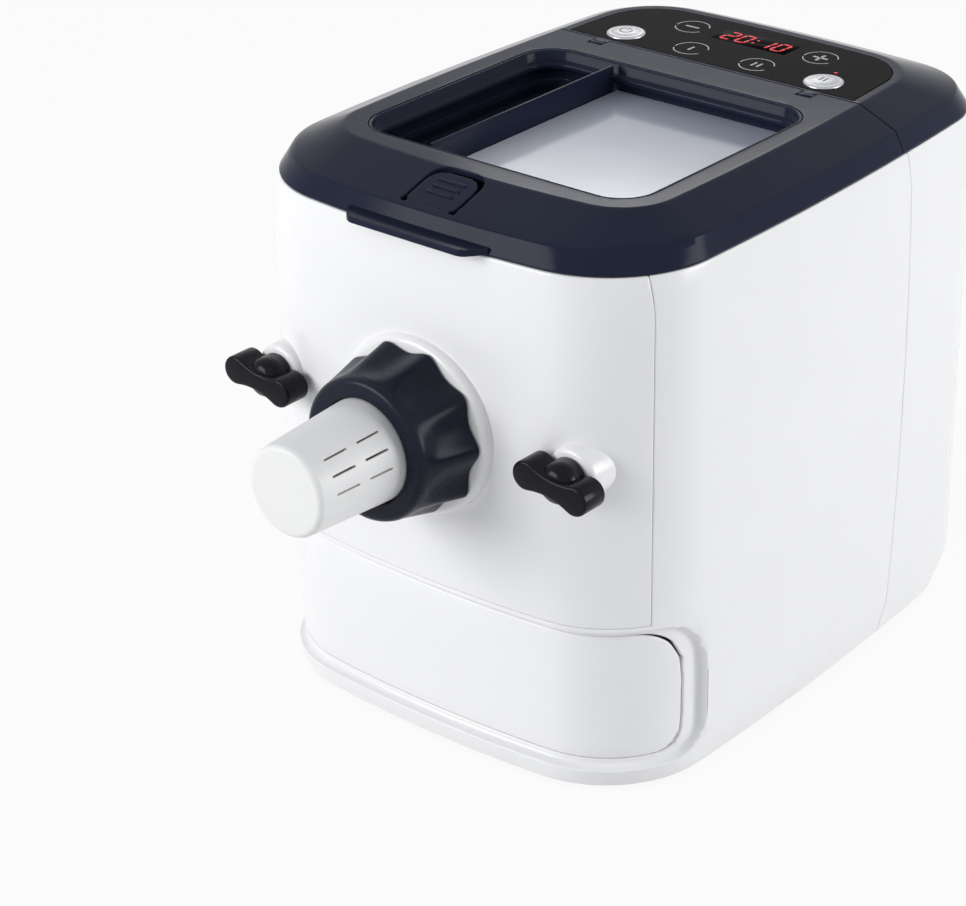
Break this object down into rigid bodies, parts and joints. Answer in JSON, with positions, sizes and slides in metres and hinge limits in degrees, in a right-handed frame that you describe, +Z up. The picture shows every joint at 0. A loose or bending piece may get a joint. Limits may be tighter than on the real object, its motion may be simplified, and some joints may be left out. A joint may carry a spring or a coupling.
{
  "type": "electric pasta maker",
  "caption": "Countertop electric pasta maker with a white body, dark hinged lid with a window, front nozzle with a lobed locking nut, two wing knobs, a storage drawer and a top control panel.",
  "frame": {"origin": "centre of the footprint on the worktop, under the feet", "axes": "+X to the user's right, -Y towards the user and along the nozzle, +Z up"},
  "size_m": [0.24, 0.4, 0.279],
  "materials": {
    "white_shell": "glossy injection-moulded ABS",
    "navy_gloss": "glossy dark navy ABS",
    "black_gloss": "glossy black plastic",
    "black_glass": "black printed panel with a hard clear face",
    "clear_window": "clear acrylic sheet",
    "white_satin": "satin food-grade plastic",
    "silver_button": "spun metal cap",
    "clear_bowl": "pale translucent plastic",
    "lamp": "red tinted plastic",
    "grey_plastic": "moulded plastic with a fine grain",
    "gear_plastic": "natural acetal",
    "rubber": "soft rubber",
    "board": "glass-fibre circuit board with parts on it",
    "steel": "machined or plated steel",
    "bearing": "sintered bronze bush"
  },
  "bodies": {
    "housing": {"base_plate": "grey_plastic", "base_screws": "steel", "chassis_plate": "grey_plastic", "control_board": "board", "control_glass": "black_glass", "display_module": "lamp", "drive_bearing": "bearing", "extrusion_barrel": "white_satin", "foot_front_left": "rubber", "foot_front_right": "rubber", "foot_rear_left": "rubber", "foot_rear_right": "rubber", "front_collar": "white_shell", "front_panel": "white_shell", "gear_cover": "grey_plastic", "knob_boss_left": "white_shell", "knob_boss_right": "white_shell", "lid_switch": "grey_plastic", "main_housing": "white_shell", "mains_inlet": "grey_plastic", "mixing_bowl": "clear_bowl", "motor_case": "steel", "power_board": "board", "rear_cover": "navy_gloss", "rear_housing": "white_shell", "shaft_seal": "white_satin", "shaping_die": "white_satin", "status_light": "lamp", "top_deck": "white_shell"},
    "lid": {"lid_frame": "navy_gloss", "hinge_pin_left": "steel", "hinge_pin_right": "steel", "window_bezel": "navy_gloss", "lid_window": "clear_window", "inlet_divider": "navy_gloss", "water_tray": "navy_gloss", "lid_liner": "grey_plastic", "lid_gasket": "rubber"},
    "latch": {"latch_button": "navy_gloss"},
    "drawer": {"storage_drawer": "white_shell"},
    "power_key": {"power_button": "silver_button"},
    "start_key": {"start_button": "silver_button"},
    "nut": {"locking_nut": "navy_gloss"},
    "knob_left": {"wing_knob_left": "black_gloss"},
    "knob_right": {"wing_knob_right": "black_gloss"},
    "stirrer": {"stirring_auger": "white_satin", "output_shaft": "steel", "drive_gear": "gear_plastic"},
    "motor_rotor": {"motor_shaft": "steel", "cooling_fan": "grey_plastic"}
  },
  "joints": [
    {"name": "lid_hinge", "type": "hinge", "parent": "housing", "child": "lid", "pos_m": [0, 0.0992, 0.274], "axis": [-1, 0, 0], "range_deg": [0, 95]},
    {"name": "latch_slide", "type": "slide", "parent": "lid", "child": "latch", "axis": [0, 1, 0], "range_m": [0, 0.0024], "stiffness_N_per_m": 800, "springref_m": -0.001},
    {"name": "drawer_slide", "type": "slide", "parent": "housing", "child": "drawer", "axis": [0, -1, 0], "range_m": [0, 0.11]},
    {"name": "power_key_press", "type": "slide", "parent": "housing", "child": "power_key", "axis": [0, 0, -1], "range_m": [0, 0.0012], "stiffness_N_per_m": 500, "springref_m": -0.001},
    {"name": "start_key_press", "type": "slide", "parent": "housing", "child": "start_key", "axis": [0, 0, -1], "range_m": [0, 0.0012], "stiffness_N_per_m": 500, "springref_m": -0.001},
    {"name": "nut_turn", "type": "hinge", "parent": "housing", "child": "nut", "pos_m": [0, -0.13, 0.1677], "axis": [0, 1, 0], "continuous": true},
    {"name": "knob_left_turn", "type": "hinge", "parent": "housing", "child": "knob_left", "pos_m": [-0.087, -0.12, 0.1677], "axis": [0, 1, 0], "range_deg": [0, 90]},
    {"name": "knob_right_turn", "type": "hinge", "parent": "housing", "child": "knob_right", "pos_m": [0.087, -0.12, 0.1677], "axis": [0, 1, 0], "range_deg": [0, 90]},
    {"name": "stirrer_turn", "type": "hinge", "parent": "housing", "child": "stirrer", "pos_m": [0, 0, 0.1677], "axis": [0, 1, 0], "continuous": true},
    {"name": "motor_turn", "type": "hinge", "parent": "housing", "child": "motor_rotor", "pos_m": [0, 0.1, 0.0927], "axis": [0, 1, 0], "continuous": true}
  ],
  "couplings": [
    {"joint": "motor_turn", "follows": "stirrer_turn", "ratio": -4}
  ]
}
